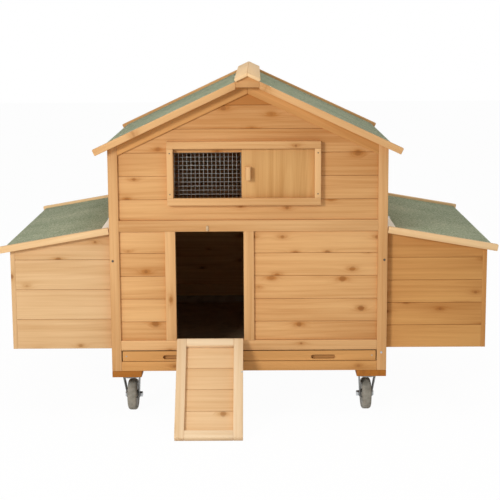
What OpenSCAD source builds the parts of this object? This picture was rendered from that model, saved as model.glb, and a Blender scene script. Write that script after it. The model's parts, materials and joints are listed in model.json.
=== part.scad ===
// Chicken tractor: a wooden hen house on four swivel castors, with a nest box on each side,
// a ramp that folds up as the door, a sliding window panel and a pull-out droppings tray.
// Millimetres. +X is right seen from the front, +Y goes to the rear, +Z is up, the ground is z = 0.

/* [House frame] */
// Width of the house over its corner posts
house_w = 856; // [700:2:1100]
// Depth of the house over its corner posts
house_d = 910; // [800:10:1200]
// Side of a square corner post, and thickness of every rail and rafter
post = 30; // [24:1:40]
// Height of the bottom sills
sill_h = 30; // [20:1:40]
// Height of the slot for the droppings tray, between sill and low rail
tray_slot_h = 36; // [28:1:50]
// Height of the low rails
low_rail_h = 31; // [26:1:45]
// Height of the wall field between low rail and mid rail, which is also the doorway's height
door_h = 344; // [300:2:420]
// Height of the mid rails
mid_rail_h = 34; // [30:1:50]
// Height of the side walls' top plates at their outer face
top_plate_h = 30; // [20:1:45]
// Height of the upper side walls, from the mid rail to the roof at the posts' outer face
upper_h = 220; // [190:2:280]

/* [Boards] */
// Thickness of the wall boards
board_t = 12; // [8:1:16]
// Width that a wall board covers
board_w = 72; // [55:1:95]
// Depth of the boards behind the face of the frame
board_set = 8; // [4:1:12]
// Chamfer along each board edge, which makes the V joint
vee = 1.5; // [0.5:0.5:3]
// Width of the top board under the front and rear mid rails
top_board_w = 69; // [40:1:90]
// Width of the lowest gable board
gable_first_w = 64; // [40:1:90]
// Gap between two pieces of wood that butt against each other
seam = 0.2; // [0.1:0.05:0.4]

/* [Doorway and ramp] */
// Left edge of the doorway from the house's centre line
door_x = -225; // [-260:1:-200]
// Width of the doorway
door_w = 210; // [190:1:240]
// Width of a door jamb
jamb_w = 32; // [24:1:45]
// Gap between the folded-up ramp and each jamb
ramp_side_gap = 3; // [2:0.5:6]
// Gap between the folded-up ramp and the low rail
ramp_foot_gap = 2; // [1:0.5:4]
// Gap between the folded-up ramp and the mid rail
ramp_head_gap = 5; // [3.5:0.5:8]
// Thickness of the ramp's frame
ramp_t = 22; // [18:1:28]
// Width of the ramp's stiles
ramp_stile_w = 29; // [24:1:40]
// Width of the ramp's top and bottom rail
ramp_rail_w = 25; // [20:1:40]
// Thickness of the ramp's boards
ramp_board_t = 10; // [6:1:14]
// Width that a ramp board covers
ramp_board_w = 73; // [50:1:90]

/* [Window] */
// Left edge of the window opening from the house's centre line
window_x = -227; // [-250:1:-190]
// Width of the window opening
window_w = 207; // [160:1:210]
// Boards that the window opening is high
window_rows = 2; // [1:1:2]
// Width of the window frame's top and bottom batten
window_batten_w = 22; // [16:1:30]
// Width of the window frame's side battens
window_stile_w = 19; // [14:1:30]
// Thickness of the window frame battens in front of the channel
window_batten_t = 16; // [10:1:24]
// How far the bottom batten covers the opening
window_sill_cover = 6; // [2:1:10]
// Strip of wall that shows between the opening and the top batten
window_head_show = 13; // [4:1:16]
// Gap between the opening and the left batten
window_side_show = 1; // [1:1:8]
// Thickness of the sliding panel
panel_t = 6; // [4:0.5:9]
// Gap between the opening and the open panel
panel_gap = 1; // [0.5:0.5:3]
// How much wider the panel is than the opening
panel_lap = 20; // [12:1:26]
// Depth that the panel's edges run into the channel
panel_groove = 5; // [3:0.5:9]
// Running gap around the panel
panel_run = 0.3; // [0.2:0.05:0.6]
// Chamfer along the knob's front edges
knob_round = 3; // [1:0.5:5]
// Width of the panel's wooden knob
knob_w = 17; // [12:1:24]
// Height of the knob
knob_h = 41; // [30:1:60]
// How far the knob stands out from the panel
knob_d = 24; // [18:1:32]
// Gap between the panel's left edge and the knob
knob_inset = 11; // [6:1:20]
// Pitch of the welded mesh
mesh_pitch = 12.7; // [12:0.1:19]
// Wire thickness of the mesh
mesh_wire = 1.2; // [0.8:0.1:2]
// How far the mesh laps behind the wall around the opening
mesh_lap = 10; // [6:1:16]

/* [Roof] */
// Roof pitch in degrees
roof_pitch = 25; // [20:0.5:30]
// Depth of the rafters, square to the slope
rafter_h = 30; // [28:1:45]
// Thickness of the roof boards
roof_t = 9; // [6:0.5:15]
// Thickness of the roofing felt
felt_t = 2; // [1.5:0.5:4]
// How far the felt runs past the roof boards at the eaves
felt_drip = 7; // [0:0.5:8]
// How far the roof boards run past the posts at the eaves
eave_over = 12; // [2:1:14]
// How far the barge battens run past the roof boards, along the slope
barge_past = 25; // [20:1:60]
// Depth of the barge battens, square to the slope
barge_h = 20; // [16:1:30]
// Thickness of the barge battens
barge_t = 30; // [15:1:40]
// How far the barge battens stand above the felt
barge_proud = 8; // [3:1:10]
// How far the roof runs past the front and rear of the house
roof_over = 35; // [32:1:60]
// Half width of the ridge end blocks
ridge_block_half = 36; // [25:1:50]
// Height of the ridge blocks at their flanks
ridge_block_h = 17; // [10:1:30]
// Thickness of the ridge cap boards
cap_t = 9; // [8:1:18]
// Half width of the ridge cap
cap_half = 40; // [38:1:60]
// How far the ridge cap runs past the barge battens
cap_over = 12; // [4:1:30]

/* [Nest boxes] */
// Width of a nest box outside the house
nest_w = 311; // [260:1:380]
// Setback of the nest box behind the front and rear of the house
nest_inset = 25; // [23:1:29]
// Height of the nest box's bottom above the bottom of the low rail
nest_lift = 1; // [0:1:16]
// Side of the nest box's corner posts
nest_post = 14; // [14:1:26]
// Width that a board covers on the left nest box
left_nest_board_w = 94.5; // [60:0.5:110]
// Width that a board covers on the right nest box
right_nest_board_w = 71.5; // [60:0.5:110]
// Thickness of the nest floor
nest_floor_t = 12; // [8:1:18]
// Thickness of the nest divider
nest_divider_t = 12; // [8:1:18]

/* [Nest lids] */
// Slope of the lids in degrees
lid_pitch = 9.8; // [5:0.1:14]
// Distance of the lid's hinge axis from the side of the house
lid_axis_out = 10; // [10:0.5:14]
// Height of the lid's hinge axis above the bottom of the mid rail
lid_axis_up = 7; // [5:1:12]
// Thickness of the lid boards
lid_t = 9; // [6:0.5:12]
// Gap between the side of the house and the lid
lid_gap = 3; // [3:0.5:5]
// How far the lid board runs past the nest box's outer wall
lid_over = 21; // [0:1:30]
// How far the lid battens run past the lid board, along the slope
lid_batten_past = 9; // [5:1:30]
// Depth of the lid battens, square to the slope
lid_batten_h = 20; // [16:1:26]
// Thickness of the lid battens
lid_batten_t = 20; // [12:1:22]
// How far the lid battens stand above the felt
lid_batten_proud = 8; // [3:1:8]
// Seating gap between the lid and the nest walls
lid_seat = 0.3; // [0.2:0.05:0.6]
// Room under the lid's inner edge as it swings up
lid_swing_gap = 1.5; // [1:0.5:4]
// Width of the bare strip along the lid's inner edge, which the hinges are screwed to
lid_strip_w = 31; // [28:1:50]

/* [Hinges] */
// Outer radius of a hinge barrel
barrel_r = 4; // [3.5:0.5:5]
// Radius of a hinge pin
pin_r = 2; // [1.5:0.25:2.5]
// Radial clearance of a pin in its barrel, and of a bolt in its bore
pin_clear = 0.05; // [0.02:0.01:0.1]
// Gap between a hinge barrel and the surface it lies on
barrel_lift = 0.3; // [0.2:0.1:0.6]
// Thickness of a hinge leaf
leaf_t = 1.5; // [1:0.5:2]
// Length of a hinge
hinge_l = 60; // [45:1:80]
// Gap between two knuckles of a hinge
knuckle_gap = 0.4; // [0.3:0.1:1]
// Width of a hinge leaf from the barrel's axis
leaf_w = 25; // [18:1:25]
// Distance of the lid hinges from the front and rear of the house
lid_hinge_in = 250; // [90:5:300]
// Distance of the ramp hinges from the ramp's edges
ramp_hinge_in = 15; // [5:1:30]

/* [Turn button] */
// Width of the turn button that holds the ramp shut
button_w = 8; // [8:1:12]
// Length of the turn button from its pivot to its tip
button_l = 13; // [13:1:20]
// Thickness of the turn button
button_t = 2.5; // [1.5:0.5:4]
// Distance of the turn button from the doorway's middle
button_shift = -6; // [-40:1:40]
// Gap between the turn button and the mid rail
button_gap = 0.5; // [0.3:0.1:1]
// Height of the pivot above the doorway
button_up = 5.5; // [5.5:0.5:6]
// Radius of the pivot screw
button_screw_r = 1.75; // [1.5:0.25:2]
// Radius of the pivot screw's head
button_head_r = 3.2; // [3:0.1:4]
// Length of the pivot screw in the wood
button_screw_l = 20; // [12:1:25]

/* [Droppings tray] */
// Thickness of the tray's front board
tray_board_t = 18; // [12:1:24]
// Setback of the front board behind the face of the posts
tray_set = 2; // [0:0.5:4]
// Gap around the tray's front board
tray_gap = 3; // [1:0.5:4]
// Height of the sheet-metal pan
pan_h = 26; // [18:1:27]
// Thickness of the sheet metal
pan_t = 1.2; // [0.8:0.1:2]
// Running gap between the pan and its runners
tray_run = 0.3; // [0.2:0.05:0.6]
// Gap between the pan's sides and the side frames
pan_side_gap = 4; // [2:0.5:8]
// Gap between the pan and the inside of the rear sill
pan_rear_gap = 3; // [1:0.5:8]
// Width of a tray runner
runner_w = 24; // [16:1:40]
// Length of a finger slot
slot_l = 75; // [50:1:110]
// Height of a finger slot
slot_h = 13; // [10:1:18]
// Depth of a finger slot
slot_d = 12; // [8:1:14]
// Distance of the finger slots from the centre line
slot_x = 231; // [150:1:300]
// Distance of the finger slots' centres below the middle of the board
slot_drop = 4; // [0:0.5:5]

/* [Perches] */
// Width of a perch
perch_w = 42; // [30:1:60]
// Height of a perch
perch_h = 30; // [22:1:33]
// Chamfer along the top of a perch
perch_round = 6; // [2:1:10]
// Distance of each perch from the middle of the house
perch_y = 150; // [90:5:220]

/* [Castors] */
// Side of the wooden castor blocks
block_w = 92; // [92:1:120]
// Thickness of the castor blocks
block_t = 20; // [14:1:30]
// Distance of the swivel axis from the sides, front and rear of the house
swivel_in = 55; // [51:1:56]
// Side of the castor's plate
plate_w = 72; // [66:1:72]
// Thickness of the castor's plate
plate_t = 3; // [2:0.5:5]
// Thickness of the upper ball race
race_t = 2.7; // [2:0.1:6]
// Radius of the ball race and of the fork's crown
race_r = 28; // [27:0.5:32]
// Gap between the race and the fork
race_gap = 0.3; // [0.2:0.1:0.5]
// Radius of the king pin
king_r = 6; // [4:0.5:8]
// Radius of the king pin's riveted head
king_head_r = 9; // [8.5:0.5:12]
// Thickness of the king pin's riveted head
king_head_t = 3; // [2:0.5:4]
// Thickness of the fork's crown
crown_t = 5; // [4:0.5:8]
// Room between the wheel and the fork's crown
wheel_clear = 19; // [10:1:24]
// Diameter of the wheel
wheel_d = 100; // [90:1:125]
// Width of the tyre
wheel_w = 30; // [26:1:34]
// Radius of the wheel's hub
hub_r = 37; // [28:1:40]
// Depth of the hub's web behind each side of the tyre
hub_inset = 1; // [0.5:0.5:4]
// Radius of the hub's boss round the axle
hub_boss_r = 10; // [8:0.5:14]
// Length of the hub between the fork's legs
hub_w = 35; // [35:0.5:36]
// Gap between the hub and each leg
hub_gap = 0.5; // [0.3:0.1:1]
// Thickness of a fork leg
leg_t = 3; // [2:0.5:3.5]
// How far each leg splays out towards the crown
leg_splay = 5.5; // [2:0.1:6]
// Reach of a leg's top edge ahead of the swivel axis
leg_ahead = 13; // [8:1:16]
// Reach of a leg's top edge behind the swivel axis
leg_behind = 20; // [14:1:22]
// Radius of the leg's rounded end at the axle
leg_end_r = 11; // [10:0.5:15]
// Distance of the axle behind the swivel axis
trail = 38; // [30:1:46]
// Turn of the castors at rest, in degrees, with the wheels turned in
castor_yaw = 2; // [0:1:15]
// Radius of the axle bolt
axle_r = 5; // [4:0.5:6]
// Radius of the bolt's hexagon head and nut
bolt_head_r = 9; // [8:0.5:11]
// Thickness of the bolt's head, on the outer side of the castor
bolt_head_t = 4; // [3:0.5:8]
// Thickness of the locking nut, on the inner side of the castor
nut_t = 9; // [5:0.5:12]

/* [Hidden] */
$fn = 48;

fir = "#c8955f";
fir_shade = "#b9834a";
ply = "#cfa569";
felt_green = "#7f8469";
zinc = "#a9adb0";
rubber = "#8f8a7a";
eps = 0.01;
cut = 1;

half_w = house_w / 2;
inner_x = half_w - post;
wheel_r = wheel_d / 2;
axle_z = wheel_r;
crown_z = wheel_d + wheel_clear;
race_z = crown_z + crown_t + race_gap;
plate_z = race_z + race_t;
castor_h = plate_z + plate_t;
base_z = castor_h + block_t;
tray_z = base_z + sill_h;
low_rail_z = tray_z + tray_slot_h;
door_z = low_rail_z + low_rail_h;
mid_rail_z = door_z + door_h;
gable_z = mid_rail_z + mid_rail_h;
eave_z = gable_z + upper_h;
board_back = board_set + board_t;

slope = tan(roof_pitch);
roof_stack = roof_t + felt_t + barge_proud;
eave_x = half_w + eave_over;
roof_y0 = barge_t - roof_over;
roof_y1 = house_d - roof_y0;

// A hinge axis lies this far off the surfaces that its leaves are screwed to
axis_off = barrel_r + barrel_lift;
// The ramp's hinge axis is in front of the low rail, just below its top edge
ramp_axis_y = -axis_off;
ramp_axis_z = door_z - ramp_foot_gap;
ramp_z0 = door_z + ramp_foot_gap;
ramp_x = door_x + ramp_side_gap;
ramp_w = door_w - 2 * ramp_side_gap;
ramp_l = door_h - ramp_foot_gap - ramp_head_gap;
ramp_reach = ramp_z0 + ramp_l - ramp_axis_z;
ramp_arm = norm([ramp_reach, axis_off]);
// Angle from shut to the ground, where the ramp's lower front edge meets it
ramp_open = atan2(axis_off, ramp_reach) + acos(-ramp_axis_z / ramp_arm);
ramp_front_y = ramp_axis_y - ramp_reach * sin(ramp_open) + (ramp_t + axis_off) * cos(ramp_open);

// Middle of the whole object, from the ramp's foot to the rear end of the ridge cap
object_rear_y = house_d + roof_over + cap_over;
front_y = -(object_rear_y + ramp_front_y) / 2;

window_z = gable_z + gable_first_w;
window_h = window_rows * board_w;
panel_x = window_x + window_w + panel_gap;
panel_w = window_w + panel_lap;
rail_low_z = window_z + window_sill_cover;
rail_high_z = window_z + window_h + window_head_show;
stile_left_x = window_x - window_side_show;
stile_right_x = panel_x + panel_w - panel_groove;
channel_y = board_set - panel_t - 2 * panel_run;
frame_x0 = stile_left_x - window_stile_w;
frame_w = stile_right_x + window_stile_w - frame_x0;

lid_axis_x = half_w + lid_axis_out;
lid_axis_z = mid_rail_z + lid_axis_up;
lid_under = axis_off + felt_t + lid_t;
nest_x = half_w + nest_w;
nest_z = low_rail_z + nest_lift;
lid_start = (lid_gap - lid_axis_out) / cos(lid_pitch);
lid_end = (nest_x + lid_over - lid_axis_x) / cos(lid_pitch);
// Height that the lid's inner lower edge stays above as it swings
lid_sweep_z = lid_axis_z - norm([lid_start, lid_under]) - lid_swing_gap;

swivel_x = half_w - swivel_in;
leg_foot_x = hub_w / 2 + hub_gap;
button_x = door_x + door_w / 2 + button_shift;
button_z = mid_rail_z + button_up;
button_y = -button_gap - button_t;
button_tail = button_w / 2;

// Height of the roof's underside at distance x from the centre line
function roof_z(x) = eave_z + (half_w - abs(x)) * slope;
// Vertical height of a thickness measured square to the roof's slope
function rise(t) = t / cos(roof_pitch);
// Height of the lid's underside at x, less its seating gap
function lid_z(x) =
    lid_axis_z - (lid_under + lid_seat) / cos(lid_pitch) - (x - lid_axis_x) * tan(lid_pitch);
// Outline in X and Z of a board under the lid, from the house to x1, clear of the lid's inner edge
function under_lid(z0, x1) =
    let (x = half_w + (lid_z(half_w) - lid_sweep_z) / tan(lid_pitch))
    [[half_w, z0], [x1, z0], [x1, lid_z(x1)], [x, lid_sweep_z], [half_w, lid_sweep_z]];

// Puts the house's front plane where the object's middle falls on the origin
module placed() { translate([0, front_y, 0]) children(); }
// The same thing on both sides
module both_sides() { children(); mirror([1, 0, 0]) children(); }
// The same thing at the front and, mirrored, at the rear
module both_ends() { children(); translate([0, house_d, 0]) mirror([0, 1, 0]) children(); }
// Outline in X and Z, drawn out along Y
module slab(outline, y0, y1) {
    translate([0, y1, 0]) rotate([90, 0, 0]) linear_extrude(y1 - y0) polygon(outline);
}
// Box between two corners
module box(low, high) { translate(low) cube(high - low); }
// Board along X with its front face at y = 0 and chamfered front edges
module plank(length, width, thick) {
    rotate([90, 0, 90]) linear_extrude(length)
        polygon([[0, vee], [vee, 0], [thick, 0], [thick, width], [vee, width], [0, width - vee]]);
}
// Boards from x0 to x1 that fill the heights between the given joints
module boards(x0, x1, joints, thick = board_t) {
    for (i = [0 : len(joints) - 2])
        translate([x0, 0, joints[i]]) plank(x1 - x0, joints[i + 1] - joints[i] - seam, thick);
}
// Joint heights from z0 up to z1, with a first board of its own width and a last one of a least width
function joints_up(z0, z1, first, pitch, least = 2 * vee) =
    concat([z0], [for (z = z0 + first; z < z1 - least; z = z + pitch) z], [z1]);
// Joint heights from z1 down to z0, listed from the bottom
function joints_down(z0, z1, first, pitch) =
    let (drops = [for (d = first; d < z1 - z0 - 2 * vee; d = d + pitch) d])
    concat([z0], [for (i = [len(drops) - 1 : -1 : 0]) z1 - drops[i]], [z1]);

wall_joints = joints_down(door_z, mid_rail_z, top_board_w, board_w);
gable_joints = joints_up(gable_z, roof_z(0) - rise(rafter_h), gable_first_w, board_w);

// House frame
module corner_post() {
    slab([[inner_x, base_z], [half_w, base_z], [half_w, roof_z(half_w)],
        [inner_x, roof_z(inner_x)]], 0, post);
}
module front_posts() { color(fir) both_sides() corner_post(); }
module rear_posts() {
    color(fir) translate([0, house_d, 0]) mirror([0, 1, 0]) both_sides() corner_post();
}
module cross_rail(z, h) { box([-inner_x, 0, z], [inner_x, post, z + h]); }
module front_sill() { color(fir) cross_rail(base_z, sill_h); }
module front_low_rail() { color(fir) cross_rail(low_rail_z, low_rail_h); }
module front_mid_rail() {
    color(fir) difference() {
        cross_rail(mid_rail_z, mid_rail_h);
        translate([button_x, -eps, button_z]) rotate([-90, 0, 0])
            cylinder(r = button_screw_r + pin_clear, h = button_screw_l + eps);
    }
}
module door_jambs() {
    color(fir) for (x = [door_x - jamb_w, door_x + door_w])
        box([x, 0, door_z], [x + jamb_w, post, mid_rail_z]);
}
module rafter() {
    slab([[seam / 2, roof_z(seam / 2)], [seam / 2, roof_z(seam / 2) - rise(rafter_h)],
        [inner_x, roof_z(inner_x) - rise(rafter_h)], [inner_x, roof_z(inner_x)]], 0, post);
}
module front_rafters() { color(fir) both_sides() rafter(); }
module rear_frame() {
    color(fir) translate([0, house_d, 0]) mirror([0, 1, 0]) {
        cross_rail(base_z, sill_h);
        cross_rail(low_rail_z, low_rail_h);
        cross_rail(mid_rail_z, mid_rail_h);
        both_sides() rafter();
    }
}
module side_rail(z, h) { box([inner_x, post, z], [half_w, house_d - post, z + h]); }
module side_frames() {
    color(fir) both_sides() {
        side_rail(base_z, sill_h);
        side_rail(low_rail_z, low_rail_h);
        side_rail(mid_rail_z, mid_rail_h);
        slab([[inner_x, eave_z - top_plate_h], [half_w, eave_z - top_plate_h],
            [half_w, roof_z(half_w)], [inner_x, roof_z(inner_x)]], post, house_d - post);
        box([inner_x, (house_d - post) / 2, door_z + seam],
            [half_w, (house_d + post) / 2, mid_rail_z - seam]);
    }
}

// Cladding
module front_boards() {
    color(fir_shade) translate([0, board_set, 0]) {
        boards(-inner_x, door_x - jamb_w, wall_joints);
        boards(door_x + door_w + jamb_w, inner_x, wall_joints);
    }
}
// Space under the rafters, between the posts
module gable_field() {
    slab([[-inner_x, gable_z], [inner_x, gable_z], [inner_x, roof_z(inner_x) - rise(rafter_h)],
        [0, roof_z(0) - rise(rafter_h)], [-inner_x, roof_z(inner_x) - rise(rafter_h)]], 0, post);
}
module gable_boards() {
    last = len(gable_joints) - 2;
    color(fir_shade) for (i = [0 : last]) {
        beside_window = i >= 1 && i <= window_rows;
        ends = beside_window ? [[-inner_x, window_x], [window_x + window_w, inner_x]]
            : [[-inner_x, inner_x]];
        for (e = ends) intersection() {
            translate([0, board_set, 0]) boards(e[0], e[1], [gable_joints[i], gable_joints[i + 1]]);
            gable_field();
        }
    }
}
module rear_boards() {
    color(fir_shade) translate([0, house_d, 0]) mirror([0, 1, 0]) {
        translate([0, board_set, 0]) boards(-inner_x, inner_x, wall_joints);
        translate([0, board_set, 0]) boards(-inner_x, inner_x, [tray_z, low_rail_z]);
        for (i = [0 : len(gable_joints) - 2]) intersection() {
            translate([0, board_set, 0])
                boards(-inner_x, inner_x, [gable_joints[i], gable_joints[i + 1]]);
            gable_field();
        }
    }
}
// Boards of the right-hand side wall between two places along Y
module side_field(y0, y1, joints) {
    translate([half_w - board_set, 0, 0]) rotate([0, 0, 90]) boards(y0, y1, joints);
}
module side_boards() {
    upper = joints_up(gable_z, eave_z - top_plate_h, board_w, board_w);
    color(fir_shade) both_sides() {
        side_field(post, house_d - post, [tray_z, low_rail_z]);
        side_field(post, house_d - post, upper);
        both_ends() side_field(post, (house_d - post) / 2, [wall_joints[0], wall_joints[1]]);
    }
}

// Roof
module roof_layer(lift, t, out) {
    foot_x = eave_x + out * cos(roof_pitch);
    foot_z = roof_z(0) - foot_x * slope;
    low = rise(lift);
    slab([[seam / 2, roof_z(seam / 2) + low],
        [foot_x + lift * sin(roof_pitch), foot_z + lift * cos(roof_pitch)],
        [foot_x + (lift + t) * sin(roof_pitch), foot_z + (lift + t) * cos(roof_pitch)],
        [seam / 2, roof_z(seam / 2) + low + rise(t)]], roof_y0, roof_y1);
}
module roof_boards() { color(ply) both_sides() roof_layer(0, roof_t, 0); }
module roof_felts() { color(felt_green) both_sides() roof_layer(roof_t + seam, felt_t - seam, felt_drip); }
module barge() {
    foot_x = eave_x + barge_past * cos(roof_pitch);
    foot_z = roof_z(0) - foot_x * slope;
    drop = barge_h - roof_stack;
    slab([[ridge_block_half, roof_z(ridge_block_half) - rise(drop)],
        [foot_x - drop * sin(roof_pitch), foot_z - drop * cos(roof_pitch)],
        [foot_x + roof_stack * sin(roof_pitch), foot_z + roof_stack * cos(roof_pitch)],
        [ridge_block_half, roof_z(ridge_block_half) + rise(roof_stack)]], -roof_over, roof_y0);
}
module barge_battens() { color(fir) both_ends() both_sides() barge(); }
module ridge_blocks() {
    flank = roof_z(ridge_block_half) + rise(roof_stack);
    color(fir) both_ends() slab([[-ridge_block_half, flank - ridge_block_h],
        [ridge_block_half, flank - ridge_block_h], [ridge_block_half, flank],
        [0, roof_z(0) + rise(roof_stack)], [-ridge_block_half, flank]], -roof_over, roof_y0);
}
module ridge_cap() {
    top = roof_z(0) + rise(roof_stack);
    lean = cap_t * sin(roof_pitch);
    foot = top - (cap_half - lean) * slope;
    color(fir) both_sides() slab([[seam / 2, top], [cap_half - lean, foot],
        [cap_half, foot + cap_t * cos(roof_pitch)], [seam / 2, top + rise(cap_t)]],
        -roof_over - cap_over, object_rear_y);
}

// Window
module window_frame() {
    high = rail_high_z + window_batten_w;
    low = rail_low_z - window_batten_w;
    front = channel_y - window_batten_t;
    back = channel_y + seam;
    strip_low = rail_low_z - panel_groove;
    strip_high = rail_high_z + panel_groove;
    color(fir) {
        box([frame_x0, front, low], [frame_x0 + frame_w, channel_y, rail_low_z]);
        box([frame_x0, front, rail_high_z], [frame_x0 + frame_w, channel_y, high]);
        for (x = [frame_x0, stile_right_x])
            box([x, front, rail_low_z + seam], [x + window_stile_w, channel_y, rail_high_z - seam]);
        box([frame_x0, back, low], [frame_x0 + frame_w, board_set, strip_low]);
        box([frame_x0, back, strip_high], [frame_x0 + frame_w, board_set, high]);
        for (x = [frame_x0, stile_right_x + panel_groove + panel_run])
            box([x, back, strip_low + seam],
                [x + window_stile_w - panel_groove - panel_run, board_set, strip_high - seam]);
    }
}
module window_mesh() {
    columns = ceil((window_w + 2 * mesh_lap) / mesh_pitch);
    rows = ceil((window_h + 2 * mesh_lap) / mesh_pitch);
    sheet_w = columns * mesh_pitch + mesh_wire;
    sheet_h = rows * mesh_pitch + mesh_wire;
    gap = mesh_pitch - mesh_wire;
    color(zinc) translate([window_x + (window_w - sheet_w) / 2, board_back + mesh_wire,
        window_z + (window_h - sheet_h) / 2]) rotate([90, 0, 0]) linear_extrude(mesh_wire) difference() {
            square([sheet_w, sheet_h]);
            for (c = [0 : columns - 1]) for (r = [0 : rows - 1])
                translate([mesh_wire + c * mesh_pitch, mesh_wire + r * mesh_pitch]) square(gap);
        }
}
module window_panel() {
    color(ply) box([panel_x, channel_y + panel_run, rail_low_z - panel_groove + panel_run],
        [panel_x + panel_w, board_set - panel_run, rail_high_z + panel_groove - panel_run]);
}
module window_knob() {
    front = channel_y + panel_run;
    color(fir) translate([panel_x + knob_inset, front - knob_d, (rail_low_z + rail_high_z - knob_h) / 2])
        linear_extrude(knob_h) polygon([[0, knob_d], [0, knob_round], [knob_round, 0],
            [knob_w - knob_round, 0], [knob_w, knob_round], [knob_w, knob_d]]);
}

// Ramp, drawn shut in the doorway and then let down to the ground
module let_down() {
    translate([0, ramp_axis_y, ramp_axis_z]) rotate([ramp_open, 0, 0])
        translate([0, -ramp_axis_y, -ramp_axis_z]) children();
}
module ramp_frame() {
    foot = ramp_z0 + ramp_l;
    color(fir) let_down() {
        for (x = [ramp_x, ramp_x + ramp_w - ramp_stile_w])
            box([x, 0, ramp_z0], [x + ramp_stile_w, ramp_t, foot]);
        for (z = [ramp_z0, foot - ramp_rail_w])
            box([ramp_x + ramp_stile_w + seam, 0, z],
                [ramp_x + ramp_w - ramp_stile_w - seam, ramp_t, z + ramp_rail_w]);
    }
}
module ramp_boards() {
    head = ramp_z0 + ramp_rail_w;
    foot = ramp_z0 + ramp_l - ramp_rail_w;
    count = round((foot - head) / ramp_board_w);
    joints = concat([for (i = [0 : count - 1]) head + i * ramp_board_w], [foot]);
    color(fir) let_down() translate([0, ramp_board_t, 0]) mirror([0, 1, 0])
        boards(ramp_x + ramp_stile_w, ramp_x + ramp_w - ramp_stile_w, joints, ramp_board_t);
}

// Hinges. A barrel lies along X, with its leaf standing up behind it, tangent to the barrel
knuckle_l = (hinge_l - 2 * knuckle_gap) / 3;
// Leaf outline in Y and Z with its knuckles along X. The outer knuckles belong to the fixed leaf.
module hinge_leaf(outline, spans) {
    for (s = spans) difference() {
        union() {
            rotate([90, 0, 90]) translate([0, 0, s[0]]) linear_extrude(s[1] - s[0]) polygon(outline);
            translate([s[0], 0, 0]) rotate([0, 90, 0]) cylinder(r = barrel_r, h = s[1] - s[0]);
        }
        translate([s[0] - cut, 0, 0]) rotate([0, 90, 0])
            cylinder(r = pin_r + pin_clear, h = s[1] - s[0] + 2 * cut);
    }
}
outer_spans = [[0, knuckle_l], [hinge_l - knuckle_l, hinge_l]];
inner_spans = [[knuckle_l + knuckle_gap, hinge_l - knuckle_l - knuckle_gap]];
// Flat leaf that runs up from the barrel, against the face it is screwed to
flat_leaf = [[0, barrel_r - leaf_t], [axis_off - leaf_t, 0], [axis_off, 0], [axis_off, leaf_w],
    [axis_off - leaf_t, leaf_w], [axis_off - leaf_t, barrel_r], [0, barrel_r]];

module at_ramp_hinges() {
    for (x = [ramp_x + ramp_hinge_in, ramp_x + ramp_w - ramp_hinge_in - hinge_l])
        translate([x, ramp_axis_y, ramp_axis_z]) children();
}
module ramp_rail_leaves() {
    color(zinc) at_ramp_hinges() mirror([0, 0, 1]) hinge_leaf(flat_leaf, outer_spans);
}
module ramp_leaves() { color(zinc) let_down() at_ramp_hinges() hinge_leaf(flat_leaf, inner_spans); }

// Lid frame: its X runs along the hinge axis, its Y up the slope to the house, its Z square to the lid
module at_lid() {
    translate([lid_axis_x, 0, lid_axis_z]) rotate([0, lid_pitch, 0]) rotate([0, 0, 90]) children();
}
module at_lid_hinges() {
    for (y = [lid_hinge_in, house_d - lid_hinge_in - hinge_l]) translate([y, 0, 0]) children();
}
// Leaf on the wall, bent out to the barrel
module wall_leaf() {
    bend = lid_axis_out;
    translate([lid_axis_x, 0, lid_axis_z]) rotate([0, 0, 90]) at_lid_hinges()
        hinge_leaf([[0, barrel_r - leaf_t], [0, barrel_r], [bend - leaf_t, barrel_r],
            [bend - leaf_t, leaf_w], [bend, leaf_w], [bend, barrel_r - leaf_t]], outer_spans);
}
module lid_wall_leaves() { color(zinc) both_sides() wall_leaf(); }
module lid_leaves() {
    at_lid() at_lid_hinges() hinge_leaf([[0, -barrel_r], [0, leaf_t - barrel_r],
        [-leaf_w, leaf_t - axis_off], [-leaf_w, -axis_off], [-barrel_r, -axis_off]], inner_spans);
}
module right_lid_leaves() { color(zinc) lid_leaves(); }
module left_lid_leaves() { color(zinc) mirror([1, 0, 0]) lid_leaves(); }
module pin() { rotate([0, 90, 0]) cylinder(r = pin_r, h = hinge_l); }
module hinge_pins() {
    color(zinc) {
        at_ramp_hinges() pin();
        both_sides() at_lid() at_lid_hinges() pin();
    }
}

// Turn button above the doorway, pointing up when the ramp is down
module turn_button() {
    color(zinc) translate([button_x, button_y, button_z]) rotate([-90, 0, 0]) difference() {
        union() {
            cylinder(r = button_tail, h = button_t);
            translate([-button_tail, button_tail - button_l, 0])
                cube([button_w, button_l - button_tail, button_t]);
            translate([0, button_tail - button_l, 0]) cylinder(r = button_tail, h = button_t);
        }
        translate([0, 0, -cut]) cylinder(r = button_screw_r + pin_clear, h = button_t + 2 * cut);
    }
}
module turn_button_screw() {
    head_t = button_t;
    color(zinc) translate([button_x, button_y - button_gap, button_z]) rotate([-90, 0, 0]) {
        translate([0, 0, -head_t]) cylinder(r = button_head_r, h = head_t);
        cylinder(r = button_screw_r, h = button_t + 2 * button_gap + button_screw_l - eps);
    }
}

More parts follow.
